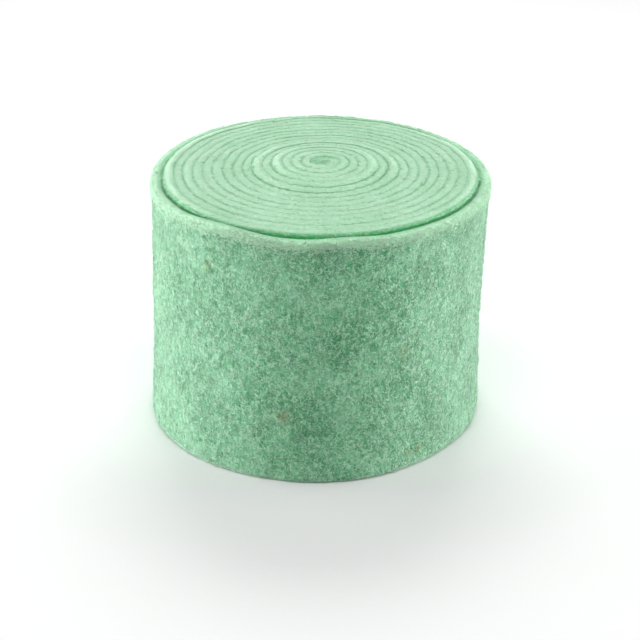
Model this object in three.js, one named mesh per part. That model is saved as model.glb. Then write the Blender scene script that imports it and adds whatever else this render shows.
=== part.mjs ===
// A roll of thick wool felt: one long strip wound round itself with no core, stood on its cut edge.
// The inner turns have slid up past one another, so the top is domed and the underside is hollowed by as
// much. The last turn stands on the surface, and its upper edge has sprung open from the turn inside it.
//
// Millimetres, +Z up, -Y to the front. The origin is on the surface that the roll stands on, under the
// middle of its box. Directions are degrees seen from above: 0 along +X, 90 at the back. Places along
// the winding are counted in turns, from the inner end unless a name says otherwise.

import * as THREE from "three";

// The strip as it is cut.
const STRIP_LENGTH = 5200;
const STRIP_WIDTH = 150;
const FELT_THICKNESS = 5.35;
const EDGE_CHAMFER = 0.8; // the worn corners of the upper cut edge

// The winding. Seen from above it runs clockwise from the inner end to the outer one.
const INNER_END_RADIUS = 2.9; // from the winding's axis to the middle of the felt
const FIRST_TURN_CURL = 1.6; // over 1 where the first turn curls tightest at its inner end
const OUTER_END_DIRECTION = 78;
const TURN_CLEARANCE = 0.35; // between two turns that lie tight
const STEPS_PER_TURN = 40;
const FINE_TURNS = 1.12; // the outer turns, whose wall is curved in height as well
const FINE_STEPS_PER_STEP = 2; // round those turns
const FINE_LEVELS = 8; // the steps in height of their wall

// The roll as a whole.
const LEAN_PER_HEIGHT = 0.02; // of the winding's axis, to the right
const WIDENING = 0.7; // how far the outer turns lean out from foot to rim

// How far each part of the winding has slid up over the last turn, by its place from the outer end.
const SLIPS = [
  { from_outer_end: 1.0, lift: 1.9 },
  { from_outer_end: 5.0, lift: 3.0 },
  { from_outer_end: 9.4, lift: 4.1 },
  { from_outer_end: 9.9, lift: 5.2 },
  { from_outer_end: 11.2, lift: 5.5 },
  { from_outer_end: 11.7, lift: 6.7 },
  { from_outer_end: 15.6, lift: 7.7 },
  { from_outer_end: 16.5, lift: 5.2 },
];

// How far the last turn's wall stands out near its two edges.
const RIM_FLARE = 1.2;
const RIM_FLARE_HEIGHT = 26;
const RIM_FLARE_CURVE = 2; // 1 is a straight slope
const FOOT_FLARE = 2.4;
const FOOT_FLARE_HEIGHT = 75;
const FOOT_FLARE_CURVE = 1.5;

// The last turn takes its drop and its flare over this part of a turn from where it begins, and gives
// the flare back over the second one, because its end lies flat against the roll.
const LOOSENING_TURNS = 0.22;
const FLATTENING_TURNS = 0.2;

// Seams that gape: the place in turns from the outer end, how far the gap runs to each side of it, in
// turns, and how far the felt stands off the turn inside it.
const GAPING_SEAMS = [
  { from_outer_end: 0.55, reach: 0.5, gap: 0.55 },
  { from_outer_end: 1.24, reach: 0.12, gap: 0.4 },
  { from_outer_end: 4.48, reach: 0.16, gap: 0.35 },
  { from_outer_end: 6.33, reach: 0.1, gap: 0.25 },
  { from_outer_end: 7.03, reach: 0.36, gap: 0.4 },
  { from_outer_end: 8.81, reach: 0.12, gap: 0.3 },
  { from_outer_end: 9.73, reach: 0.25, gap: 0.9 },
  { from_outer_end: 11.49, reach: 0.24, gap: 0.6 },
  { from_outer_end: 13.2, reach: 0.12, gap: 0.3 },
  { from_outer_end: 15.2, reach: 0.25, gap: 0.4 },
];

// How the roll is out of round: how far its wall stands out at the rim and at the foot, by direction.
const BULGES = [
  { direction: 215, reach: 70, rim: 0.2, foot: 1.9 },
  { direction: 275, reach: 40, rim: 0, foot: 1.2 },
  { direction: 318, reach: 35, rim: 0, foot: -0.8 },
];

// How far the last turn's upper edge rises over its mean height, by direction.
const RIM_LIFTS = [
  { direction: 135, reach: 45, lift: 0.5 },
  { direction: 236, reach: 22, lift: 2.2 },
  { direction: 278, reach: 14, lift: 1.1 },
  { direction: 330, reach: 35, lift: -0.5 },
];

const FELT_COLOUR = new THREE.Color(0x8fcfa6);

const TURN = 2 * Math.PI;
const SIDES = 6; // of the strip's outline, with its two chamfers

const clamp01 = (x) => Math.min(1, Math.max(0, x));
const smooth = (x) => clamp01(x) ** 2 * (3 - 2 * clamp01(x));
const bump = (distance, reach) => Math.cos(clamp01(Math.abs(distance) / reach) * (Math.PI / 2)) ** 2;
const total = (rows, value) => rows.reduce((sum, row) => sum + value(row), 0);

// The turn of one direction from another, from -180 to 180 degrees.
const between = (a, b) => THREE.MathUtils.euclideanModulo(a - b + 180, 360) - 180;

// The pitch of the winding at a place counted from the outer end: the felt and the gap under it.
function pitchAt(fromOuterEnd) {
  const gape = total(GAPING_SEAMS, (s) => s.gap * bump(fromOuterEnd - s.from_outer_end, s.reach));
  return FELT_THICKNESS + TURN_CLEARANCE + gape;
}

// Winds the strip until all of it is used, and gives the radius of the felt's middle at each step.
function wind(expectedTurns) {
  const radii = [];
  for (let length = 0; length < STRIP_LENGTH; length += (radii.at(-1) * TURN) / STEPS_PER_TURN) {
    const turn = radii.length / STEPS_PER_TURN;
    const pitch = pitchAt(expectedTurns - turn);
    const inside = turn < 1 ? INNER_END_RADIUS : radii.at(-STEPS_PER_TURN);
    radii.push(inside + pitch * (turn < 1 ? turn ** FIRST_TURN_CURL : 1));
  }
  return radii;
}

// The seams are placed from the outer end, so the number of turns has to be known. It is taken from the
// area of the felt seen from above, and then from a first winding.
const tightRadius = Math.sqrt((STRIP_LENGTH * (FELT_THICKNESS + TURN_CLEARANCE)) / Math.PI);
const firstTry = wind(tightRadius / (FELT_THICKNESS + TURN_CLEARANCE));
const radii = wind((firstTry.length - 1) / STEPS_PER_TURN);
const turns = (radii.length - 1) / STEPS_PER_TURN;
const outerRadius = radii.at(-1);

// The radius of the felt's middle anywhere along the winding.
function radiusAt(turn) {
  const at = turn * STEPS_PER_TURN;
  const low = Math.min(Math.floor(at), radii.length - 2);
  return THREE.MathUtils.lerp(radii[low], radii[low + 1], at - low);
}

const directionAt = (turn) => OUTER_END_DIRECTION + 360 * (turns - turn);

// 0 up to where the last turn begins, and 1 once it has loosened.
const onLastTurn = (turn) => smooth((turn - (turns - 1)) / LOOSENING_TURNS);

// How far the strip has slid up.
function liftAt(turn) {
  const place = turns - turn;
  const next = SLIPS.findIndex((s) => s.from_outer_end > place);
  if (next === 0) return SLIPS[0].lift * (1 - onLastTurn(turn));
  if (next < 0) return SLIPS.at(-1).lift;
  const [a, b] = [SLIPS[next - 1], SLIPS[next]];
  const partWay = (place - a.from_outer_end) / (b.from_outer_end - a.from_outer_end);
  return THREE.MathUtils.lerp(a.lift, b.lift, smooth(partWay));
}

// How far the last turn's upper edge rises or dips.
const rimLiftAt = (turn) =>
  onLastTurn(turn) * total(RIM_LIFTS, (r) => r.lift * bump(between(directionAt(turn), r.direction), r.reach));

// How far the last turn's wall stands out at a height.
function flareAt(turn, height) {
  const loose = onLastTurn(turn) * smooth((turns - turn) / FLATTENING_TURNS);
  const rim = clamp01(1 - (STRIP_WIDTH - height) / RIM_FLARE_HEIGHT) ** RIM_FLARE_CURVE;
  const foot = clamp01(1 - height / FOOT_FLARE_HEIGHT) ** FOOT_FLARE_CURVE;
  return loose * (RIM_FLARE * rim + FOOT_FLARE * foot);
}

// How far the whole winding stands out at a height, all of it at the outside and less towards the axis.
function bulgeAt(turn, height) {
  const up = height / STRIP_WIDTH;
  const aside = (b) => bump(between(directionAt(turn), b.direction), b.reach);
  const outside = (radiusAt(turn) / outerRadius) ** 2;
  return outside * (WIDENING * up + total(BULGES, (b) => (b.rim * up + b.foot * (1 - up)) * aside(b)));
}

// The point at a place along the strip, a distance out from the felt's middle and a height on the strip.
function pointAt(turn, out, height) {
  const angle = THREE.MathUtils.degToRad(directionAt(turn));
  const radius = radiusAt(turn) + out + flareAt(turn, height) + bulgeAt(turn, height);
  const z = height + liftAt(turn) + rimLiftAt(turn) * smooth(height / STRIP_WIDTH);
  return [radius * Math.cos(angle) + LEAN_PER_HEIGHT * z, radius * Math.sin(angle), z];
}

// The strip's outline across its thickness and width, counter-clockwise from the lower inner corner. A
// point's `along` says which side it is on and how far along it, so that unlike outlines can be joined.
function outline(levels) {
  const half = FELT_THICKNESS / 2;
  const shoulder = STRIP_WIDTH - EDGE_CHAMFER;
  const points = [{ out: -half, height: 0, along: 0 }];
  for (let i = 0; i <= levels; i++) {
    points.push({ out: half, height: (shoulder * i) / levels, along: 1 + i / levels });
  }
  points.push({ out: half - EDGE_CHAMFER, height: STRIP_WIDTH, along: 3 });
  points.push({ out: EDGE_CHAMFER - half, height: STRIP_WIDTH, along: 4 });
  for (let i = levels; i > 0; i--) {
    points.push({ out: -half, height: (shoulder * i) / levels, along: SIDES - i / levels });
  }
  return points;
}

// Joins two neighbouring outlines with a band of triangles.
function stitch(faces, a, b) {
  const ahead = (section, i) => (i + 1 < section.length ? section[i + 1].along : SIDES);
  const indexOf = (section, i) => section[i % section.length].index;
  let i = 0;
  let j = 0;
  while (i < a.length || j < b.length) {
    if (j >= b.length || (i < a.length && ahead(a, i) <= ahead(b, j))) {
      faces.push(indexOf(a, i), indexOf(a, i + 1), indexOf(b, j));
      i += 1;
    } else {
      faces.push(indexOf(a, i), indexOf(b, j + 1), indexOf(b, j));
      j += 1;
    }
  }
}

// Closes one end of the strip.
function cap(faces, section, isInnerEnd) {
  const flat = section.map((p) => new THREE.Vector2(p.out, p.height));
  for (const [a, b, c] of THREE.ShapeUtils.triangulateShape(flat, [])) {
    const corners = [section[a].index, section[b].index, section[c].index];
    faces.push(...(isInnerEnd ? corners.reverse() : corners));
  }
}

// The places along the winding where the outline is set: finer round the last turn.
function placesAlong() {
  const places = [];
  for (let step = 0; step < (turns - FINE_TURNS) * STEPS_PER_TURN; step++) {
    places.push({ turn: step / STEPS_PER_TURN, levels: 1 });
  }
  const fineSteps = FINE_STEPS_PER_STEP * STEPS_PER_TURN;
  for (let step = FINE_STEPS_PER_STEP * places.length; step <= turns * fineSteps; step++) {
    places.push({ turn: step / fineSteps, levels: FINE_LEVELS });
  }
  return places;
}

function feltStrip() {
  const positions = [];
  const faces = [];
  const sections = placesAlong().map(({ turn, levels }) =>
    outline(levels).map((p) => {
      positions.push(...pointAt(turn, p.out, p.height));
      return { ...p, index: positions.length / 3 - 1 };
    }),
  );
  for (let i = 1; i < sections.length; i++) stitch(faces, sections[i - 1], sections[i]);
  cap(faces, sections[0], true);
  cap(faces, sections.at(-1), false);

  const geometry = new THREE.BufferGeometry();
  geometry.setAttribute("position", new THREE.Float32BufferAttribute(positions, 3));
  geometry.setIndex(faces);
  geometry.computeVertexNormals();
  return geometry;
}

const felt = new THREE.MeshStandardMaterial({ color: FELT_COLOUR, roughness: 0.95, metalness: 0 });
const strip = new THREE.Mesh(feltStrip(), felt);
strip.name = "felt_roll";

// The winding's axis isn't quite in the middle of the roll, so the strip is moved over the origin.
strip.geometry.computeBoundingBox();
const middle = strip.geometry.boundingBox.getCenter(new THREE.Vector3());
strip.position.set(-middle.x, -middle.y, 0);

const roll = new THREE.Group();
roll.add(strip);
export default roll;
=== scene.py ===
import math

import bpy
import numpy as np
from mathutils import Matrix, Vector


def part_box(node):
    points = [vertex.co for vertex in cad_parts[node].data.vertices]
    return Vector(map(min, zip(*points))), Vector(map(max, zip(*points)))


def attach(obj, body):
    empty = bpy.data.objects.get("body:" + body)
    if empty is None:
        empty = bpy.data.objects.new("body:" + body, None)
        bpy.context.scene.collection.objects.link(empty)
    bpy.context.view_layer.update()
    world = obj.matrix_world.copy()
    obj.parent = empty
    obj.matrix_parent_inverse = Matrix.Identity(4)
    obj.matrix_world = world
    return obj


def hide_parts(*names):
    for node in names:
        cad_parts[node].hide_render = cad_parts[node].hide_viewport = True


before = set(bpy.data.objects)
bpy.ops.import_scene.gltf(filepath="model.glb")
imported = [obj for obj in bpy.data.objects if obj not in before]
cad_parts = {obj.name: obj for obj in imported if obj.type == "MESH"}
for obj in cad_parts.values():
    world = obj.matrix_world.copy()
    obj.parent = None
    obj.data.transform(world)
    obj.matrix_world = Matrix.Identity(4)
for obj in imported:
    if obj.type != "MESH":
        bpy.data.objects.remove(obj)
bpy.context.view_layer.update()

# ---------------------------------------------------------------------------------------------------
# The camera. It stands before the roll and looks down on it, square to its front, with a long lens so
# that the wall's two sides stay nearly upright.
CAMERA_TARGET = Vector((0.002, 0.0, 0.0539))
CAMERA_DISTANCE = 1.04
CAMERA_DOWN = math.radians(26.8)
CAMERA_LENS = 95.57  # mm, on a film 36 mm wide

lens = bpy.data.cameras.new("camera")
lens.lens = CAMERA_LENS
camera = bpy.data.objects.new("camera", lens)
backwards_and_up = Vector((0, -math.cos(CAMERA_DOWN), math.sin(CAMERA_DOWN)))
camera.location = CAMERA_TARGET + CAMERA_DISTANCE * backwards_and_up
camera.rotation_euler = (math.pi / 2 - CAMERA_DOWN, 0, 0)
bpy.context.collection.objects.link(camera)
bpy.context.scene.camera = camera

# ---------------------------------------------------------------------------------------------------
# The felt strip. It is one long strip cut from a sheet of thick pressed wool and wound clockwise round
# itself with no core. The turns have slipped up towards the middle, the last one stands on the floor,
# and its rim has sprung away from the turn inside it. Every worn edge is rounded.

# Sizes are in mm, places in turns from the inner end, and directions in degrees, seen from above.
MM = 0.001
STRIP_LENGTH = 5200.0
STRIP_WIDTH = 150.0
FELT_PITCH = 5.7  # one turn to the next where they lie tight
FELT_THICKNESS = 6.05  # pressed soft against its neighbours
INNER_END_RADIUS = 2.9
FIRST_TURN_CURL = 1.6  # over 1, so that the first turn starts tight and then opens
OUTER_END_DIRECTION = 78
STEPS_PER_TURN = 40
LEAN_PER_HEIGHT = 0.02  # of the whole roll, to the right
WIDENING = 0.7  # of the outermost turn, from its foot to its rim
# Of the last turn: how far it stands out, how far that reaches, and how sharply it curves.
RIM_FLARE, RIM_FLARE_HEIGHT, RIM_FLARE_CURVE = 1.2, 26, 2
FOOT_FLARE, FOOT_FLARE_HEIGHT, FOOT_FLARE_CURVE = 2.4, 75, 1.5
LOOSENING_TURNS = 0.22  # over which the last turn comes away from the roll
FLATTENING_TURNS = 0.2  # over which its end comes back to it

# Place in turns from the outer end, and how far the felt has slid up there.
SLIPS = np.array([
    (1.0, 1.9), (5.0, 3.0), (9.4, 4.1), (9.9, 5.2), (11.2, 5.5), (11.7, 6.7), (15.6, 7.7), (16.5, 6.2),
])
# Place in turns from the outer end, reach to each side in turns, and gap.
GAPING_SEAMS = (
    (0.55, 0.5, 0.55), (1.24, 0.12, 0.4), (4.48, 0.16, 0.35), (6.33, 0.1, 0.25), (7.03, 0.36, 0.4),
    (8.81, 0.12, 0.3), (9.73, 0.25, 0.9), (11.49, 0.24, 0.6), (13.2, 0.12, 0.3), (15.2, 0.25, 0.4),
)
# Direction, reach in degrees, and how far the wall stands out at the rim and at the foot.
BULGES = ((215, 70, 0.2, 1.9), (275, 40, 0, 1.2), (318, 35, 0, -0.8))
# Direction, reach in degrees, and lift of the last turn's upper edge.
RIM_LIFTS = ((135, 45, 0.5), (236, 22, 2.2), (278, 14, 1.1), (330, 35, -0.5))


def clamp01(x):
    return np.clip(x, 0.0, 1.0)


def smooth(x):
    return clamp01(x) ** 2 * (3 - 2 * clamp01(x))


def bump(distance, reach):
    return np.cos(clamp01(np.abs(distance) / reach) * (math.pi / 2)) ** 2


def aside(direction, other):
    return (direction - other + 180) % 360 - 180


def wind(expected_turns):
    """The radius of the felt's middle at each step along the winding, until the strip is used up."""
    radii, length = [], 0.0
    while length < STRIP_LENGTH:
        turn = len(radii) / STEPS_PER_TURN
        place = expected_turns - turn
        pitch = FELT_PITCH + sum(gap * bump(place - at, reach) for at, reach, gap in GAPING_SEAMS)
        if turn < 1:
            radii.append(INNER_END_RADIUS + pitch * turn**FIRST_TURN_CURL)
        else:
            radii.append(radii[-STEPS_PER_TURN] + pitch)
        length += radii[-1] * 2 * math.pi / STEPS_PER_TURN
    return np.array(radii)


first_try = wind(math.sqrt(STRIP_LENGTH * FELT_PITCH / math.pi) / FELT_PITCH)
radii = wind((len(first_try) - 1) / STEPS_PER_TURN)
turns = (len(radii) - 1) / STEPS_PER_TURN


# The inner end is nipped into the heart of the roll: how far it reaches in, in turns, the radius of its
# tip, how much of the felt's thickness is left there, how far it is drawn down, and from which turn on.
NIP_TURNS, NIP_RADIUS, NIP_THICKNESS, NIP_DROP, NIP_DROP_START = 0.55, 1.0, 0.3, 0.2, 0.45


def radius_at(turn):
    nipped = np.minimum(turn, 0) / NIP_TURNS * (INNER_END_RADIUS - NIP_RADIUS)
    return np.interp(turn * STEPS_PER_TURN, np.arange(len(radii)), radii) + nipped


def nip_at(turn):
    """0 where the strip keeps its thickness and height, and 1 at the nipped tip of its inner end."""
    return clamp01(-turn / NIP_TURNS)


def direction_at(turn):
    return OUTER_END_DIRECTION + 360 * (turns - turn)


def on_last_turn(turn):
    return smooth((turn - (turns - 1)) / LOOSENING_TURNS)


def lift_at(turn):
    """How far the strip has slid up at a place along it."""
    place = np.clip(turns - turn, SLIPS[0, 0], SLIPS[-1, 0] - 1e-6)
    row = np.searchsorted(SLIPS[:, 0], place, side="right") - 1
    part_way = smooth((place - SLIPS[row, 0]) / (SLIPS[row + 1, 0] - SLIPS[row, 0]))
    slid = SLIPS[row, 1] + (SLIPS[row + 1, 1] - SLIPS[row, 1]) * part_way
    return np.where(turns - turn < SLIPS[0, 0], SLIPS[0, 1] * (1 - on_last_turn(turn)), slid)


def stand_off(turn, height):
    """How far the strip stands out from the even winding at a height."""
    loose = on_last_turn(turn) * smooth((turns - turn) / FLATTENING_TURNS)
    rim = clamp01(1 - (STRIP_WIDTH - height) / RIM_FLARE_HEIGHT) ** RIM_FLARE_CURVE
    foot = clamp01(1 - height / FOOT_FLARE_HEIGHT) ** FOOT_FLARE_CURVE
    up = height / STRIP_WIDTH
    bulge = WIDENING * up
    for direction, reach, at_rim, at_foot in BULGES:
        near = bump(aside(direction_at(turn), direction), reach)
        bulge = bulge + (at_rim * up + at_foot * (1 - up)) * near
    outside = (radius_at(turn) / radii[-1]) ** 2
    return loose * (RIM_FLARE * rim + FOOT_FLARE * foot) + outside * bulge


LATTICE_SIZE = 64
lattice = np.random.default_rng(11).uniform(-1, 1, (LATTICE_SIZE,) * 3)


def lumps(points, size):
    """Soft random swells, about so many millimetres across, from -1 to 1."""
    cell = points / size
    low = np.floor(cell).astype(int)
    part = smooth(cell - low)
    swell = 0
    for corner in np.ndindex(2, 2, 2):
        weight = np.prod(np.where(corner, part, 1 - part), axis=-1)
        i, j, k = np.moveaxis((low + corner) % LATTICE_SIZE, -1, 0)
        swell = swell + weight * lattice[i, j, k]
    return swell


# The wool isn't pressed evenly: size of the swells, how far they push the wall out, and how far they
# raise the upper edge.
SWELLS = ((34.0, 0.45, 0.15), (12.0, 0.28, 0.2), (4.2, 0.13, 0.12))
# On the outer face alone: size and push of its lumps, how many turns of it have them, how fast they set
# in, and how far from the swells they are taken from the lattice.
WALL_LUMPS = ((6.5, 0.2), (2.8, 0.16))
LUMPY_TURNS, LUMPS_SET_IN, LUMPS_APART = 1.1, 20, 50
EDGE_DEPTH = 12.0  # how far below the upper edge its unevenness reaches
# Of one turn's upper edge over the next: how much, how long a stretch, and how fast a turn passes them.
TURN_UNEVENNESS, UNEVEN_STRETCH, UNEVEN_PER_TURN = 0.08, 3.1, 23.7
SETTLED_STEP = 1.0  # the biggest step between two turns that wear has made into a slope
FLAT_FOOT, FOOT_PUSH = 3.0, 0.4  # how high the foot is kept even, and how much of the swells it takes


def strip_point(turn, out, height):
    """The point at a place along the strip, out from the felt's middle and up the strip, in mm."""
    turn, out, height = np.broadcast_arrays(turn, out, height)
    angle = np.radians(direction_at(turn))
    nip = nip_at(turn)
    radius = radius_at(turn) + out * (1 - nip * (1 - NIP_THICKNESS)) + stand_off(turn, height)
    lift = sum(rise * bump(aside(direction_at(turn), at), reach) for at, reach, rise in RIM_LIFTS)
    z = height + lift_at(turn) + on_last_turn(turn) * lift * smooth(height / STRIP_WIDTH)
    z = z - NIP_DROP * smooth((NIP_DROP_START - turn) / (NIP_DROP_START + NIP_TURNS))
    outward = np.stack([np.cos(angle), np.sin(angle), 0 * angle], axis=-1)
    even = radius[..., None] * outward + np.stack([LEAN_PER_HEIGHT * z, 0 * z, z], axis=-1)
    near_rim = smooth(1 - (STRIP_WIDTH - height) / EDGE_DEPTH)
    push, rise = 0, 0
    for size, wall, rim in SWELLS:
        swell = lumps(even, size)
        push = push + wall * swell
        rise = rise + rim * swell
    along = np.stack([turn * UNEVEN_PER_TURN, 0 * turn, 0 * turn], axis=-1)
    rise = rise + TURN_UNEVENNESS * lumps(along, UNEVEN_STRETCH) * (1 - on_last_turn(turn))
    step = np.clip(lift_at(turn) - lift_at(turn + 1), 0, SETTLED_STEP) * (turn < turns - 1)
    rise = rise - step * out / FELT_THICKNESS
    outer_face = smooth(out / FELT_THICKNESS * 2) * smooth((turn - turns + LUMPY_TURNS) * LUMPS_SET_IN)
    for size, wall in WALL_LUMPS:
        push = push + wall * outer_face * lumps(even + LUMPS_APART, size)
    push = push * (FOOT_PUSH + (1 - FOOT_PUSH) * smooth(height / FLAT_FOOT))
    return even + push[..., None] * outward + (rise * near_rim)[..., None] * np.array((0, 0, 1.0))


# How far the wear has rounded each kind of edge, across the felt and down it.
FOOT_WEAR = (2.4, 2.3)
BURIED_WEAR = (2.1, 0.36)  # an upper edge between two turns, worn to a soft furrow
FURROW_CURVE = 1.6  # over 1, so that the furrow steepens towards the seam
RIM_WEAR = (4.5, 3.6)  # the upper edge of the last turn, outside
RIM_BACK_WEAR = (1.4, 1.3)  # the same edge, inside
CROWN, CROWN_DEPTH = 0.15, 5  # how far the middle of an upper edge is proud, and how far down that reaches
CUT_EDGE_BELOW = 0.6  # how far past its rounding an upper edge still shows as cut
FOOT_CUT, FOOT_CUT_FADE = 0.6, 0.5  # how high up the foot shows as cut, and over what height that ends
FOOT_POINTS, TOP_POINTS = 3, 6  # of a rounded corner
# Places along the outline count 1 for each of its sides: all four, and how much of a side its corner takes.
ALL_ROUND, CORNER_SHARE = 4.0, 0.3


def outline(wall_levels, back_levels, outer_wear, inner_wear):
    """The strip's outline across it: out, height, place along the outline, and how far it is cut edge."""
    half, top = FELT_THICKNESS / 2, STRIP_WIDTH
    rows = []

    def worn_corner(side, outward, upward, wear, points):
        across, down = wear
        start = {(-1, -1): 180, (1, -1): 270, (1, 1): 0, (-1, 1): 90}[outward, upward]
        middle = (outward * (half - across), (top - down) if upward > 0 else down)
        for i in range(points):
            turned = math.radians(start + 90 * i / (points - 1))
            rows.append((middle[0] + across * math.cos(turned), middle[1] + down * math.sin(turned),
                         side + CORNER_SHARE * i / (points - 1)))

    def run(side, a, b, points):
        for i in range(1, points + 1):
            part = i / (points + 1)
            rows.append((a[0] + (b[0] - a[0]) * part, a[1] + (b[1] - a[1]) * part,
                         side + CORNER_SHARE + (1 - CORNER_SHARE) * part))

    worn_corner(0, -1, -1, FOOT_WEAR, FOOT_POINTS)
    run(0, (FOOT_WEAR[0] - half, 0), (half - FOOT_WEAR[0], 0), 1)
    worn_corner(1, 1, -1, FOOT_WEAR, FOOT_POINTS)
    run(1, (half, FOOT_WEAR[1]), (half, top - outer_wear[1]), wall_levels)
    worn_corner(2, 1, 1, outer_wear, TOP_POINTS)
    run(2, (half - outer_wear[0], top), (inner_wear[0] - half, top), 2)
    worn_corner(3, -1, 1, inner_wear, TOP_POINTS)
    run(3, (-half, top - inner_wear[1]), (-half, FOOT_WEAR[1]), back_levels)
    rows = np.array(rows)
    if outer_wear == BURIED_WEAR:
        across, down = BURIED_WEAR
        sloping = clamp01((np.abs(rows[:, 0]) - half + across) / across)
        on_top = rows[:, 1] > top - down - 0.01  # with the lowest points of the two corners
        rows[:, 1] = np.where(on_top, top - down * sloping**FURROW_CURVE, rows[:, 1])
    rows[:, 1] += CROWN * (1 - (rows[:, 0] / half) ** 2) * (rows[:, 1] > top - CROWN_DEPTH)
    edge = outer_wear[1] + CUT_EDGE_BELOW
    cut_top = smooth((rows[:, 1] - top + edge) / edge)
    cut_foot = smooth((FOOT_CUT - rows[:, 1]) / FOOT_CUT_FADE)
    return np.column_stack([rows, np.maximum(cut_top, cut_foot)])


# Where the turns are pressed so tight that their edges mat together: its direction and reach, how much
# the seams lose there, and how broad that is at its full strength.
MATTED_DIRECTION, MATTED_REACH, MATTED_LOSS, MATTED_BREADTH = 272, 62, 0.85, 1.5
HEART_RADIUS = 3.0  # about the radius at which the winding starts


def matted(turn):
    """How much is left of a seam at a place where the turns mat together."""
    off = aside(direction_at(max(turn, 0.0)), MATTED_DIRECTION)
    return 1 - MATTED_LOSS * smooth(MATTED_BREADTH * bump(off, MATTED_REACH))


def felt_wound(turn, row):
    """The length of felt wound up to a place, over 2 pi, as a point at which lumps are read."""
    turn = max(turn, 0.0)
    return np.array([[turn * (turn * FELT_PITCH / 2 + HEART_RADIUS), row, 0.0]])


# How deep a seam is, over a buried edge's wear: its usual depth, how much that swells, and its limits.
SEAM_DEPTH, SEAM_SWELL, SEAM_LIMITS = 0.3, 0.6, (0.05, 0.9)
SEAM_LUMPS = ((2.6, 1.0, 0), (0.9, 0.6, 9))  # size and share of what swells it, and place in the lattice
GAP_SHOULDER = 4.0  # how deep the edge beside the gap is worn, over a buried edge's wear


def seam_depth(turn):
    """How deep the seams are at a place: hardly a line, or a clear furrow."""
    at = felt_wound(turn, 0.0)
    swell = sum(share * lumps(at + apart, size)[0] for size, share, apart in SEAM_LUMPS)
    return np.clip(SEAM_DEPTH + SEAM_SWELL * swell, *SEAM_LIMITS) * matted(turn)


SEAM_SHADE_WIDTH, GAP_SHADE_WIDTH = 1.9, 3.0  # how far each side of a seam, and of the gap, the felt is greener with painted shade
SHADE, SHADE_LIMITS = 0.45, (0.05, 1.0)  # how strong that usually is beside a seam, and its limits
SHADE_LUMPS = ((4.0, 0.5), (1.3, 0.35))  # size and strength of what varies it


def shade_strength(turn):
    """How strong the painted shade beside a seam is at a place along the strip."""
    at = felt_wound(turn, 5.0)
    strength = sum((share * lumps(at, size)[0] for size, share in SHADE_LUMPS), SHADE)
    return np.clip(strength, *SHADE_LIMITS) * matted(turn)


FINE_TURNS = 1.12  # of the strip, from its outer end, that have a fine outline
WALL_LEVELS, BACK_LEVELS = 64, 10  # of the fine outline, up its wall and its back
INNER_WALL_LEVELS, INNER_BACK_LEVELS = 3, 2  # of the coarse one, where turns hide each other
# One outline to the next on the inner turns and on the last, and at the most over the radius.
INNER_STEP, OUTER_STEP, STEP_PER_RADIUS = 2.4, 2.0, 0.3

places = [-NIP_TURNS]
while places[-1] < turns:
    step = INNER_STEP if places[-1] < turns - FINE_TURNS else OUTER_STEP
    radius = float(radius_at(places[-1]))
    places.append(places[-1] + min(step, STEP_PER_RADIUS * radius) / (2 * math.pi * radius))
places[-1] = turns
inner_outline = outline(INNER_WALL_LEVELS, INNER_BACK_LEVELS, BURIED_WEAR, BURIED_WEAR)
outer_outline = outline(WALL_LEVELS, BACK_LEVELS, RIM_WEAR, RIM_BACK_WEAR)


def end_outline(turn):
    """The outline under the strip's outer end, where a sheltered edge turns bit by bit into the rim."""
    bare = float(smooth((turn - turns + FINE_TURNS) / (FINE_TURNS - 1.0)))
    across, down = BURIED_WEAR
    outer = [a + (b - a) * bare for a, b in zip((across, down * GAP_SHOULDER), RIM_WEAR)]
    inner = [a + (b - a) * bare for a, b in zip((across, down * float(seam_depth(turn))), RIM_BACK_WEAR)]
    return outline(WALL_LEVELS, BACK_LEVELS, outer, inner)


END_ROUNDING = 0.7  # of the strip's two ends
END_CUT = 2.0  # how far from its ends the strip shows as cut
SEAM_REACH = 2.5  # how far down a buried edge is made deeper or shallower
GAP_START, GAP_SETS_IN = 2.1, 0.2  # turns from the outer end to the gap's start, and over how many it opens
RIM_WOOL_AND_LIGHT_BAND = 7.0  # how far down the wall of the last turn its rim is paler, partly its own wool and partly painted light
# How far down a seam, or the gap inside the last turn, the painted shade sets in, and over what depth it
# deepens to full.
SEAM_PAINTED_SHADE_DEPTH, SEAM_PAINTED_SHADE_FADE = 0.9, 2.5
GAP_PAINTED_SHADE_DEPTH, GAP_PAINTED_SHADE_FADE = 0.2, 1.5
SHADE_DEPTH = 3  # how far down the upper edge its shade beside a seam reaches

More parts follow.
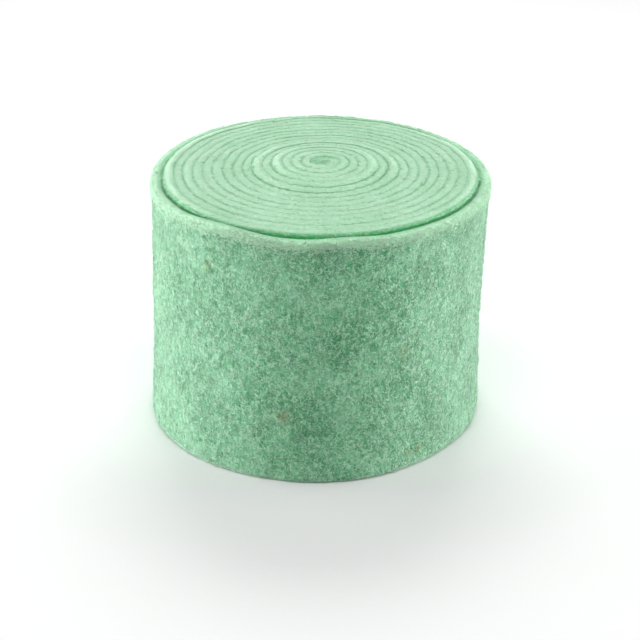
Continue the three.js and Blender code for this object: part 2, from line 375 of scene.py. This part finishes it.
positions, faces, starts, shapes = [], [], [], []
cut_edge, painted_crevice_shade, painted_seam_shade, rim_wool_and_painted_light = [], [], [], []
for place in places:
    sheltered = place < turns - FINE_TURNS
    shape = inner_outline if sheltered else end_outline(place) if place < turns - 1.0 else outer_outline
    starts.append(starts[-1] + len(shapes[-1]) if starts else 0)
    shapes.append(shape)
    to_end = min(place + NIP_TURNS, turns - place) * 2 * math.pi * float(radius_at(place))
    thin = END_ROUNDING * max(0.0, 1 - to_end / END_ROUNDING) ** 2
    out = shape[:, 0] * (1 - 2 * thin / FELT_THICKNESS)
    height = shape[:, 1].copy()
    if sheltered:
        sunk = np.clip(STRIP_WIDTH - height, 0, SEAM_REACH)
        by_gap = smooth((place - (turns - GAP_START)) / GAP_SETS_IN) * (out > 0)
        deep = float(seam_depth(place)) * (1 - by_gap) + GAP_SHOULDER * by_gap
        height += sunk * (1 - deep) * (height > STRIP_WIDTH - SEAM_REACH)
    positions.append(np.column_stack([np.full(len(shape), place), out, height]))
    cut_edge.append(np.maximum(shape[:, 3], smooth(1 - to_end / END_CUT)))
    outside, inside = shape[:, 0] > 0, shape[:, 0] < 0
    exposed = (place > turns - 1.0) & outside
    in_gap = (place > turns - 1.0) & inside | (turns - 2.0 < place <= turns - 1.0) & outside
    depth = np.minimum(STRIP_WIDTH + CROWN - height, height)
    # Painted light along the rim of the last turn, over its own paler wool.
    rim_wool_and_painted_light.append(np.where(exposed, smooth((RIM_WOOL_AND_LIGHT_BAND - STRIP_WIDTH + height) / RIM_WOOL_AND_LIGHT_BAND), 0.0))
    # Painted shade: the walls down in the seams, and in the gap inside the last turn, get a deep green for
    # the shade there.
    seam_painted_shade = smooth((depth - SEAM_PAINTED_SHADE_DEPTH) / SEAM_PAINTED_SHADE_FADE)
    gap_painted_shade = smooth((depth - GAP_PAINTED_SHADE_DEPTH) / GAP_PAINTED_SHADE_FADE)
    painted_crevice_shade.append(np.where(exposed, 0.0, np.where(in_gap, gap_painted_shade, seam_painted_shade)))
    # Painted shade beside the seams and the gap: how far it reaches and how strong it is.
    width = np.where(in_gap, GAP_SHADE_WIDTH, SEAM_SHADE_WIDTH)
    strength = np.where(in_gap, 1.0, float(shade_strength(place)))
    beside = smooth((np.abs(shape[:, 0]) - FELT_THICKNESS / 2 + width) / width)
    painted_seam_shade.append(np.where(exposed, 0.0, beside * (STRIP_WIDTH - height < SHADE_DEPTH) * strength))
flat_positions = np.concatenate(positions)
strip_points = strip_point(flat_positions[:, 0], flat_positions[:, 1], flat_positions[:, 2])


def stitch(a, a_start, b, b_start):
    """Joins two neighbouring outlines, of like or unlike numbers of points, by a band of faces."""
    if len(a) == len(b):
        count = len(a)
        for i in range(count):
            j = (i + 1) % count
            faces.append((a_start + i, a_start + j, b_start + j, b_start + i))
        return
    i = j = 0
    while i < len(a) or j < len(b):
        next_a = a[i + 1, 2] if i + 1 < len(a) else ALL_ROUND
        next_b = b[j + 1, 2] if j + 1 < len(b) else ALL_ROUND
        at_a, at_b = a_start + i % len(a), b_start + j % len(b)
        if j >= len(b) or (i < len(a) and next_a <= next_b):
            faces.append((at_a, a_start + (i + 1) % len(a), at_b))
            i += 1
        else:
            faces.append((at_a, b_start + (j + 1) % len(b), at_b))
            j += 1


for i in range(1, len(places)):
    stitch(shapes[i - 1], starts[i - 1], shapes[i], starts[i])
faces.append(tuple(range(starts[0] + len(shapes[0]) - 1, starts[0] - 1, -1)))
faces.append(tuple(range(starts[-1], starts[-1] + len(shapes[-1]))))

# The roll stands where the frame says.
low, high = (np.array(corner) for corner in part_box("felt_roll"))
middle = (strip_points.min(axis=0) + strip_points.max(axis=0)) / 2
shift = np.array([*(low + high)[:2] / 2 / MM - middle[:2], low[2] / MM])


def to_frame(points):
    return (points + shift) * MM


mesh = bpy.data.meshes.new("felt_strip")
mesh.from_pydata(to_frame(strip_points).tolist(), [], faces)
for name, values in (("cut_edge", cut_edge), ("painted_crevice_shade", painted_crevice_shade),
                     ("painted_seam_shade", painted_seam_shade), ("rim_wool_and_painted_light", rim_wool_and_painted_light)):
    mesh.attributes.new(name, "FLOAT", "POINT").data.foreach_set("value", np.concatenate(values))
mesh.polygons.foreach_set("use_smooth", [len(face) < 5 for face in faces])  # not the strip's two ends
mesh.update()
felt_strip = bpy.data.objects.new("felt_strip", mesh)
bpy.context.collection.objects.link(felt_strip)


class Wire:
    """A socket of a material, or the material's nodes alone. Arithmetic on it adds Math nodes."""

    def __init__(self, tree, socket=None):
        self.tree, self.socket = tree, socket

    def node(self, kind, settings=(), inputs=(), output=0):
        """Adds a node of any kind: its settings first, then the values or links of its sockets."""
        made = self.tree.nodes.new(kind)
        for name, value in dict(settings).items():
            setattr(made, name, value)
        for name, value in dict(inputs).items():
            if isinstance(value, Wire):
                self.tree.links.new(value.socket, made.inputs[name])
            else:
                made.inputs[name].default_value = value
        return Wire(self.tree, made.outputs[output] if made.outputs else None)

    def math(self, operation, *values):
        return self.node("ShaderNodeMath", {"operation": operation}, dict(enumerate(values)))

    def __add__(self, other):
        return self.math("ADD", self, other)

    def __sub__(self, other):
        return self.math("SUBTRACT", self, other)

    def __rsub__(self, other):
        return self.math("SUBTRACT", other, self)

    def __mul__(self, other):
        return self.math("MULTIPLY", self, other)

    def __abs__(self):
        return self.math("ABSOLUTE", self)

    __radd__, __rmul__ = __add__, __mul__


def ramp(value, low, high):
    """Takes a value from low..high to 0..1, softly at both ends."""
    return value.node("ShaderNodeMapRange", {"interpolation_type": "SMOOTHSTEP"},
                      {"Value": value, "From Min": low, "From Max": high})


def blend_colours(factor, a, b):
    """A colour from a to b. A Mix node's colours are its sockets 6 and 7, and its colour output is 2."""
    return factor.node("ShaderNodeMix", {"data_type": "RGBA"}, {0: factor, 6: a, 7: b}, 2)


def wool_noise(place, scale, detail=2.0, roughness=0.5):
    return place.node("ShaderNodeTexNoise", {}, {
        "Vector": place, "Scale": scale, "Detail": detail, "Roughness": roughness})


def scaled(place, factors):
    return place.node("ShaderNodeVectorMath", {"operation": "MULTIPLY"}, {0: place, 1: factors})


def shifted(place, other, amount):
    """Moves a place by a random vector, so that what is drawn there curls."""
    centred = place.node("ShaderNodeVectorMath", {"operation": "SUBTRACT"}, {0: other, 1: (0.5, 0.5, 0.5)})
    scaled_by = place.node("ShaderNodeVectorMath", {"operation": "SCALE"}, {0: centred, "Scale": amount})
    return place.node("ShaderNodeVectorMath", {"operation": "ADD"}, {0: place, 1: scaled_by})


def fibres_drawn(place, scale, thinness):
    """Thin curly lines where a noise crosses its middle value."""
    field = wool_noise(place, scale, 1.0)
    return ramp(1 - abs(field * 2 - 1), 1 - thinness, 1.0)


# The drawn fibres: how fine their curl is and how far it moves them, how those that run up the wall and
# those that cross them are drawn out, and how fine and how thin each kind is.
CURL_SCALE, CURL_REACH = 420.0, 0.0035
UPRIGHT, LEVEL = (1.0, 1.0, 0.42), (0.6, 0.6, 1.3)
UPRIGHT_FIBRES, LEVEL_FIBRES, FINE_FIBRES = (480.0, 0.15), (560.0, 0.13), (1100.0, 0.22)
# The wool's uneven dye: how fine its clouds, clumps and grit are, how the clumps are drawn out, and how
# the clouds are turned, so that none of them lies level.
CLOUD_SCALE, CLUMP_SCALE, GRIT_SCALE = 38.0, 330.0, 1500.0
CLUMPS_DRAWN = (1.0, 1.0, 0.7)
CLOUDS_TURNED = (0.7, 0.5, 0.3)
BUMP_HEIGHT = 0.0006  # in metres

WHITE = (1.0, 1.0, 1.0, 1)
# The ground's deep green is partly the wool's own colour and partly painted shade among the fibres over it.
DEEP_GREEN = (0.06, 0.30, 0.125, 1)
FELT_GREEN = (0.17, 0.53, 0.27, 1)
PALE_FIBRE = (0.44, 0.80, 0.53, 1)
CUT_GREEN = (0.34, 0.66, 0.40, 1)
CUT_PALE = (0.53, 0.83, 0.59, 1)
# The next colour is painted shade beside the seams and the gap.
BESIDE_SEAM_PAINTED_SHADE = (0.22, 0.57, 0.30, 1)
# The next colour is painted shade, for the walls down in the seams and in the gap.
SEAM_PAINTED_SHADE = (0.08, 0.54, 0.18, 1)
# The next colour is partly the rim's paler wool and partly painted light caught by its fuzz.
RIM_PALE_WOOL_AND_LIGHT = (0.56, 0.96, 0.64, 1)


def felt_material():
    """Pressed wool: a green ground under a mat of paler curly fibres, paler and finer where it is cut."""
    material = bpy.data.materials.new("pressed_wool")
    material.use_nodes = True
    tree = material.node_tree
    tree.nodes.clear()
    nodes = Wire(tree)
    place = nodes.node("ShaderNodeTexCoord", output="Object")
    cut = nodes.node("ShaderNodeAttribute", {"attribute_name": "cut_edge"}, output=2)
    curl = place.node("ShaderNodeTexNoise", {}, {"Vector": place, "Scale": CURL_SCALE, "Detail": 2.0}, 1)
    curled = shifted(place, curl, CURL_REACH)
    turned = place.node("ShaderNodeMapping", {}, {"Vector": place, "Rotation": CLOUDS_TURNED})
    clouds = wool_noise(turned, CLOUD_SCALE, 3.0)
    clumps = wool_noise(scaled(place, CLUMPS_DRAWN), CLUMP_SCALE, 3.0, 0.6)
    grit = wool_noise(place, GRIT_SCALE, 2.0, 0.6)
    fibres = fibres_drawn(scaled(curled, UPRIGHT), *UPRIGHT_FIBRES)
    crossing = fibres_drawn(scaled(curled, LEVEL), *LEVEL_FIBRES)
    fine = fibres_drawn(curled, *FINE_FIBRES)
    mat = fibres * 0.7 + crossing * 0.6 + fine * 0.4
    # The ground: the wool's random tone, darkened in part as painted shade among the fibres.
    ground_tone_and_shade = ramp(clumps * 0.8 + clouds * 0.6 + grit * 0.3, 0.64, 1.04)
    ground = blend_colours(ground_tone_and_shade, DEEP_GREEN, FELT_GREEN)
    light = ramp(mat * 0.8 + clumps * 0.8 + clouds * 0.6, 0.88, 1.5)
    face = blend_colours(light * 0.95, ground, PALE_FIBRE)
    cut_light = ramp(clumps * 0.5 + clouds * 0.4 + grit * 0.4 + fine * 0.2, 0.5, 1.0)
    cut_face = blend_colours(cut_light, CUT_GREEN, CUT_PALE)
    # Painted shade down in the seams and in the gap inside the last turn.
    seam = nodes.node("ShaderNodeAttribute", {"attribute_name": "painted_crevice_shade"}, output=2)
    beside = nodes.node("ShaderNodeAttribute", {"attribute_name": "painted_seam_shade"}, output=2)
    rim = nodes.node("ShaderNodeAttribute", {"attribute_name": "rim_wool_and_painted_light"}, output=2)
    # The rim: partly its own paler, worn wool, partly painted light caught by its fuzz.
    worn = ramp(rim + clumps * 0.5 + mat * 0.15, 0.45, 1.05)
    # Painted shade beside the seams and the gap, over the cut edges.
    edge = blend_colours(cut, face, blend_colours(beside * 0.95, cut_face, BESIDE_SEAM_PAINTED_SHADE))
    edge = blend_colours(worn * 0.9, edge, RIM_PALE_WOOL_AND_LIGHT)
    # The painted shade down in the seams and the gap goes over all the rest.
    colour = blend_colours(seam, edge, SEAM_PAINTED_SHADE)
    height = mat * (1 - cut * 0.6) + clumps * 0.9 + grit * 0.25
    raised = nodes.node("ShaderNodeBump", {}, {"Strength": 0.75, "Distance": BUMP_HEIGHT, "Height": height})
    shader = nodes.node("ShaderNodeBsdfPrincipled", {}, {
        "Base Color": colour, "Roughness": 0.95, "Normal": raised, "Specular IOR Level": 0.15,
        "Sheen Weight": 0.9, "Sheen Roughness": 0.35, "Sheen Tint": WHITE})
    nodes.node("ShaderNodeOutputMaterial", {}, {"Surface": shader})
    return material


felt_strip.data.materials.append(felt_material())
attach(felt_strip, "root")
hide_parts("felt_roll")

# ---------------------------------------------------------------------------------------------------
# The nap: loose wool fibres that stand and curl on the wall, on the cut edges and over the rim. They
# are part of the pressed wool, held by the ends that are matted into it.
draw = np.random.default_rng(29)
WANDER = 0.8  # how much a fibre wanders from point to point, over how much it bends as a whole


def curls(count, points, length, toward, spread, bend):
    """Random curly paths on a flat surface, one row of points to a fibre, in mm from their roots."""
    step = (length / (points - 1))[:, None]
    heading = draw.normal(toward, spread, count)[:, None]
    steady = draw.normal(0, bend, (count, 1))
    wander = draw.normal(0, bend * WANDER, (count, points - 1))
    heading = heading + np.cumsum(steady * step + wander * np.sqrt(step), axis=1)
    sideways = np.cumsum(step * np.cos(heading), axis=1)
    upwards = np.cumsum(step * np.sin(heading), axis=1)
    start = np.zeros((count, 1))
    return np.hstack([start, sideways]), np.hstack([start, upwards])


def arched(count, points, rise, arch, rooted):
    """How far fibres stand off the felt along their paths: up from the root, then part of the way back."""
    profile = np.sin(np.linspace(0, math.pi * arch, points))[None]
    return draw.uniform(*rise, count)[:, None] * profile - rooted


LAST_ROOT = 0.001  # the least distance from the strip's outer end, in turns
LOWEST_FIBRE = 0.3  # up the wall


def on_wall(turn, height, sideways, upwards, rise):
    """Lays paths on the wall of the last turn and over its worn rim, none past its end."""
    place = turn[:, None] + sideways / (2 * math.pi * radius_at(turn))[:, None]
    place = np.minimum(place, turns - LAST_ROOT)
    across, down = RIM_WEAR
    up = np.maximum(height[:, None] + upwards, LOWEST_FIBRE)
    over = clamp01((up - STRIP_WIDTH + down) / (down + across / 2)) * math.pi / 2
    out = FELT_THICKNESS / 2 - across + (across + rise) * np.cos(over)
    worn = STRIP_WIDTH - down + (down + rise) * np.sin(over)
    return strip_point(place, out, np.where(over > 0, worn, up))


def along_turns(turn, sideways):
    """Where paths lie along the strip, none wound round the heart of the roll."""
    place = turn[:, None] + sideways / (2 * math.pi * np.maximum(radius_at(turn), HEART_RADIUS))[:, None]
    return np.clip(place, 0, turns)


EDGE_BEND, EDGE_SLOPE = 0.7, 0.5  # how near a seam fibres bend down into it, and how steeply


def on_edge(turn, out, sideways, across, rise):
    """Lays paths on the upper cut edge."""
    across = out[:, None] + across
    drop = np.maximum(np.abs(across) - FELT_THICKNESS / 2 + EDGE_BEND, 0)
    return strip_point(along_turns(turn, sideways), across, STRIP_WIDTH + rise - drop * EDGE_SLOPE)


def fibre_shape(points):
    """A three-sided fibre's triangles, by its points, and the same unrolled flat in a square of side 1."""
    last = 3 * (points - 2) + 1
    triangles, net = [], []
    for k in range(3):
        n = (k + 1) % 3
        triangles += [(0, 1 + n, 1 + k), (last, last - 3 + k, last - 3 + n)]
        net += [((k + 0.5, 0), (k + 1, 1), (k, 1)),
                ((k + 0.5, points - 1), (k, points - 2), (k + 1, points - 2))]
        for ring in range(1, points - 2):
            a, b = 3 * ring - 2, 3 * ring + 1
            triangles += [(a + k, a + n, b + n), (a + k, b + n, b + k)]
            net += [((k, ring), (k + 1, ring), (k + 1, ring + 1)),
                    ((k, ring), (k + 1, ring + 1), (k, ring + 1))]
    return np.array(triangles), np.array(net) / (3, points - 1)


TAPER = (0.12, 0.88)  # the part of a half wave that a fibre's girth follows from end to end
NET_MARGIN = 0.06  # round each unrolled fibre in its square
OFF_FLOOR = 0.00005  # the least height of a fibre, in metres


def fibre_piece(name, bundles, material):
    """One mesh of fibres that taper to a point at both ends. A bundle is their paths and widths."""
    all_points, all_triangles, nets, start = [], [], [], 0
    for paths, widths in bundles:
        count, points = paths.shape[:2]
        ahead = np.gradient(paths, axis=1)
        ahead /= np.linalg.norm(ahead, axis=2, keepdims=True)
        side = np.cross(ahead, draw.normal(0, 1, (count, 1, 3)))
        side /= np.linalg.norm(side, axis=2, keepdims=True)
        other = np.cross(ahead, side)
        girth = np.sin(np.linspace(*TAPER, points) * math.pi)[None, :, None] * widths[:, None, None]
        rings = [paths + girth / 2 * (math.cos(a) * side + math.sin(a) * other)
                 for a in (0, 2 * math.pi / 3, 4 * math.pi / 3)]
        inner = np.stack(rings, axis=2)[:, 1:-1].reshape(count, -1, 3)
        verts = np.concatenate([paths[:, :1], inner, paths[:, -1:]], axis=1)
        triangles, net = fibre_shape(points)
        offsets = start + np.arange(count)[:, None, None] * verts.shape[1]
        all_points.append(verts.reshape(-1, 3))
        all_triangles.append((triangles + offsets).reshape(-1, 3))
        nets.append(np.broadcast_to(net, (count, *net.shape)))
        start += count * verts.shape[1]
    points, triangles = np.concatenate(all_points), np.concatenate(all_triangles).astype(np.int32)
    # Each fibre's net lies in one square of a grid, so that the whole piece can be painted on one sheet.
    fibres = sum(map(len, nets))
    rows = math.ceil(math.sqrt(fibres))
    squares = np.stack(np.divmod(np.arange(fibres), rows), axis=1)[:, None, None]
    corners = []
    for net in nets:
        used, squares = squares[:len(net)], squares[len(net):]
        corners.append(((used + NET_MARGIN + (1 - 2 * NET_MARGIN) * net) / rows).reshape(-1, 2))
    mesh = bpy.data.meshes.new(name)
    mesh.vertices.add(len(points))
    in_frame = to_frame(points)
    in_frame[:, 2] = np.maximum(in_frame[:, 2], OFF_FLOOR)
    mesh.vertices.foreach_set("co", in_frame.ravel())
    mesh.loops.add(triangles.size)
    mesh.loops.foreach_set("vertex_index", triangles.ravel())
    mesh.polygons.add(len(triangles))
    mesh.polygons.foreach_set("loop_start", np.arange(0, triangles.size, 3, dtype=np.int32))
    mesh.update(calc_edges=True)
    mesh.uv_layers.new(name="OFBake").data.foreach_set("uv", np.concatenate(corners).ravel())
    mesh.polygons.foreach_set("use_smooth", np.ones(len(triangles), bool))
    piece = bpy.data.objects.new(name, mesh)
    bpy.context.collection.objects.link(piece)
    mesh.materials.append(material)
    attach(piece, "root")
    return piece


TONE_SCALE, TONE_GRAIN = 55.0, 400.0  # how fine a fibre's drift of tone is, over the roll and near by


def fibre_material(name, colour, deeper=0.72):
    """Loose wool. It drifts from its colour to a deeper one, because the dye took unevenly."""
    material = bpy.data.materials.new(name)
    material.use_nodes = True
    tree = material.node_tree
    tree.nodes.clear()
    nodes = Wire(tree)
    place = nodes.node("ShaderNodeTexCoord", output="Object")
    drift = wool_noise(place, TONE_SCALE, 3.0) * 0.6 + wool_noise(place, TONE_GRAIN) * 0.4
    tone = ramp(drift, 0.38, 0.62)
    deep = tuple(channel * deeper for channel in colour[:3]) + (1,)
    shader = nodes.node("ShaderNodeBsdfPrincipled", {}, {
        "Base Color": blend_colours(tone, deep, colour), "Roughness": 0.8, "Specular IOR Level": 0.2,
        "Sheen Weight": 0.6, "Sheen Tint": WHITE})
    nodes.node("ShaderNodeOutputMaterial", {}, {"Surface": shader})
    return material


WALL_TURNS = 1.02  # of the strip, from its outer end, on which the wall's fibres stand


def wall_bundle(count, points, length, width, rise, spread=0.75, bend=0.28):
    """Fibres spread over the whole wall of the last turn: lengths, widths and rises from low to high."""
    turn = draw.uniform(turns - WALL_TURNS, turns, count)
    height = STRIP_WIDTH * draw.uniform(0.0, 1.0, count)
    sideways, upwards = curls(count, points, draw.uniform(*length, count), math.pi / 2, spread, bend)
    lift = arched(count, points, rise, 0.8, 0.12)
    return on_wall(turn, height, sideways, upwards, lift), draw.uniform(*width, count)


def edge_bundle(count, points, length, width, rise):
    """Fibres spread over the upper cut edges of all the turns."""
    turn = turns * np.sqrt(draw.uniform(0, 1, count))
    out = draw.uniform(-0.5, 0.5, count) * FELT_THICKNESS
    sideways, across = curls(count, points, draw.uniform(*length, count), toward=0, spread=1.2, bend=0.3)
    lift = arched(count, points, rise, 0.9, 0.1)
    return on_edge(turn, out, sideways, across, lift), draw.uniform(*width, count)


RIM_REACH, RIM_LYING = 3.0, 0.6  # how far down the rim they are spread, and how flat they lie along it


def rim_bundle(count, points, length, width, rise):
    """Fibres that lean out over the rim of the last turn."""
    turn = draw.uniform(turns - WALL_TURNS, turns, count)
    height = STRIP_WIDTH - np.abs(draw.normal(0.0, RIM_REACH, count))
    sideways, upwards = curls(count, points, draw.uniform(*length, count), toward=0, spread=1, bend=0.4)
    lift = arched(count, points, rise, 0.7, 0.1)
    return on_wall(turn, height, sideways, upwards * RIM_LYING, lift), draw.uniform(*width, count)


SEAM_SCATTER, SEAM_FIBRE_WAVE = 0.8, 0.08  # how far from a seam they root, and how they wave up and down


def seam_bundle(count, points, length, width, rise):
    """Fibres that bridge the seams between the turns."""
    turn = (turns - 1) * np.sqrt(draw.uniform(0, 1, count))
    out = FELT_PITCH / 2 + draw.normal(0, SEAM_SCATTER, count)
    sideways, across = curls(count, points, draw.uniform(*length, count), toward=0, spread=1, bend=0.3)
    middle = slice((points - 1) // 2, (points - 1) // 2 + 1)
    sideways -= sideways[:, middle]
    across -= across[:, middle]
    lift = draw.uniform(*rise, count)[:, None] + draw.normal(0, SEAM_FIBRE_WAVE, (count, points))
    paths = strip_point(along_turns(turn, sideways), out[:, None] + across, STRIP_WIDTH + lift)
    return paths, draw.uniform(*width, count)


# How far from the middle fibres are matted over the inner end, how high over it, how much that dishes
# outwards, and how uneven it is.
HEART_REACH, HEART_RAISED, HEART_DISH, HEART_UNEVEN = 6.5, 0.1, 0.026, 0.15


def heart_bundle(count, points, length, width):
    """Fibres matted over the nipped inner end."""
    angle, reach = draw.uniform(0, 2 * math.pi, count), HEART_REACH * np.sqrt(draw.uniform(0, 1, count))
    sideways, upwards = curls(count, points, draw.uniform(*length, count), toward=0, spread=3, bend=0.5)
    x = (reach * np.cos(angle))[:, None] + sideways - sideways.mean(axis=1, keepdims=True)
    y = (reach * np.sin(angle))[:, None] + upwards - upwards.mean(axis=1, keepdims=True)
    z = STRIP_WIDTH + float(lift_at(0.0)) + HEART_RAISED + HEART_DISH * (x * x + y * y)
    z = z + draw.normal(0, HEART_UNEVEN, (count, 1))
    return np.stack([x + LEAN_PER_HEIGHT * z, y, z], axis=2), draw.uniform(*width, count)


# Where fibres of the gap root, from the last turn's back, how much they cross it, and how they wave.
GAP_ROOTS, GAP_CROSSING, GAP_FIBRE_WAVE = (-0.9, 0.2), 0.4, 0.2


def gap_bundle(count, points, length, width, depth):
    """Fibres that cross the gap inside the last turn."""
    turn = turns - 1 + draw.uniform(0.0, 1.0, count)
    out = -FELT_THICKNESS / 2 + draw.uniform(*GAP_ROOTS, count)
    sideways, across = curls(count, points, draw.uniform(*length, count), toward=0, spread=1.2, bend=0.4)
    out = out[:, None] + across * GAP_CROSSING
    drop = draw.uniform(*depth, count)[:, None] + draw.normal(0, GAP_FIBRE_WAVE, (count, points))
    paths = strip_point(along_turns(turn, sideways), out, STRIP_WIDTH - drop)
    return paths, draw.uniform(*width, count)


pale_wool = fibre_material("pale_wool", (0.57, 0.82, 0.64, 1))
mid_wool = fibre_material("mid_wool", (0.12, 0.48, 0.23, 1))
seam_wool = fibre_material("seam_wool", (0.38, 0.78, 0.47, 1), 0.85)
# The rim's fibres are pale wool made paler still with painted light, for the light that shines through
# them.
rim_wool_with_painted_glow = fibre_material("rim_wool_with_painted_glow", (0.64, 0.97, 0.70, 1), 0.9)
# The fibres in the gap are a deeper green than the rest of the wool: painted shade for the gap they cross.
gap_wool_painted_shade = fibre_material("gap_wool_painted_shade", (0.15, 0.60, 0.26, 1))
tan_wool = fibre_material("tan_wool", (0.62, 0.78, 0.36, 1))

# Each bundle: how many fibres, points along each, then its lengths, widths, and rises or depths.
nap = [
    fibre_piece("nap_wall_pale", [wall_bundle(9500, 5, (2.5, 7.0), (0.12, 0.22), (0.25, 1.0))], pale_wool),
    fibre_piece("nap_wall_mid", [wall_bundle(9500, 4, (2.0, 5.0), (0.14, 0.26), (0.1, 0.45))], mid_wool),
    fibre_piece("nap_edge", [edge_bundle(8000, 4, (1.2, 3.6), (0.1, 0.2), (0.1, 0.45))], pale_wool),
    fibre_piece("nap_seam", [
        seam_bundle(14000, 4, (1.5, 3.4), (0.14, 0.3), (-0.3, 0.1)),
        heart_bundle(1400, 4, (2.5, 5.0), (0.25, 0.5)),
    ], seam_wool),
    fibre_piece("nap_rim", [
        rim_bundle(12000, 4, (1.5, 4.0), (0.16, 0.3), (0.2, 1.0)),
        wall_bundle(500, 6, (5.0, 11.0), (0.07, 0.12), (0.8, 2.2), spread=1.5, bend=0.25),
    ], rim_wool_with_painted_glow),
    fibre_piece("nap_gap", [gap_bundle(4500, 4, (1.5, 4.0), (0.2, 0.4), (0.5, 3.0))], gap_wool_painted_shade),
]

# Where a few tan hairs were caught in the wool: direction seen from above, height, and how many.
TAN_TUFTS = ((259, 42, 26), (299, 76, 10), (304, 10, 16), (231, 124, 9))
TUFT_TURNS, TUFT_HEIGHT, HAIR_POINTS = 0.0025, 1.2, 6  # how far a tuft spreads, and points along a hair
tufts = []
for direction, height, count in TAN_TUFTS:
    at = turns - ((direction - OUTER_END_DIRECTION) / 360) % 1
    turn = at + draw.normal(0, TUFT_TURNS, count)
    length = draw.uniform(3.0, 7.0, count)
    sideways, upwards = curls(count, HAIR_POINTS, length, toward=0.8, spread=0.9, bend=0.35)
    lift = arched(count, HAIR_POINTS, (0.3, 0.7), 1.0, 0.0)
    height = height + draw.normal(0, TUFT_HEIGHT, count)
    tufts.append((on_wall(turn, height, sideways, upwards, lift), draw.uniform(0.16, 0.3, count)))
nap.append(fibre_piece("tan_hairs", tufts, tan_wool))

# ---------------------------------------------------------------------------------------------------
# The floor: a plain pale board, much wider than the roll, painted matt. The roll only stands on it.
FLOOR_SIZE = 8.0  # in metres
FLOOR_PAINT = (0.8, 0.8, 0.8, 1)
half = FLOOR_SIZE / 2
floor_corners = [(-half, -half, 0), (half, -half, 0), (half, half, 0), (-half, half, 0)]
floor_mesh = bpy.data.meshes.new("floor")
floor_mesh.from_pydata(floor_corners, [], [(0, 1, 2, 3)])
floor = bpy.data.objects.new("floor", floor_mesh)
bpy.context.collection.objects.link(floor)
floor_paint = bpy.data.materials.new("floor_paint")
floor_paint.use_nodes = True
floor_paint.node_tree.nodes.clear()
floor_nodes = Wire(floor_paint.node_tree)
floor_nodes.node("ShaderNodeOutputMaterial", {}, {"Surface": floor_nodes.node(
    "ShaderNodeBsdfDiffuse", {}, {"Color": FLOOR_PAINT})})
floor_mesh.materials.append(floor_paint)

# ---------------------------------------------------------------------------------------------------
# The light: one soft box above and before the roll, one above and behind it, a long low one to each side,
# a little behind, and a pale room round them all.
LIGHTS_AIM = Vector((0, 0, 0.07))
ROOM_STRENGTH = 0.40
LIGHTS = (
    # name, where it hangs, width, height, watts
    ("front_box", (0.0, -0.5, 1.3), 0.8, 0.7, 7.6),
    ("back_box", (0.0, 0.85, 1.25), 0.8, 0.6, 12.5),
    ("left_box", (-1.35, 0.28, 0.08), 0.9, 0.14, 33.0),
    ("right_box", (1.35, 0.28, 0.08), 0.9, 0.14, 25.0),
)
for name, where, width, height, watts in LIGHTS:
    box = bpy.data.lights.new(name, "AREA")
    box.shape, box.size, box.size_y, box.energy = "RECTANGLE", width, height, watts
    hung = bpy.data.objects.new(name, box)
    hung.location = where
    hung.rotation_euler = (LIGHTS_AIM - Vector(where)).to_track_quat("-Z", "Y").to_euler()
    bpy.context.collection.objects.link(hung)
room = bpy.data.worlds.new("room")
room.use_nodes = True
room.node_tree.nodes["Background"].inputs["Color"].default_value = WHITE
room.node_tree.nodes["Background"].inputs["Strength"].default_value = ROOM_STRENGTH
bpy.context.scene.world = room
bpy.context.scene.view_settings.view_transform = "Standard"
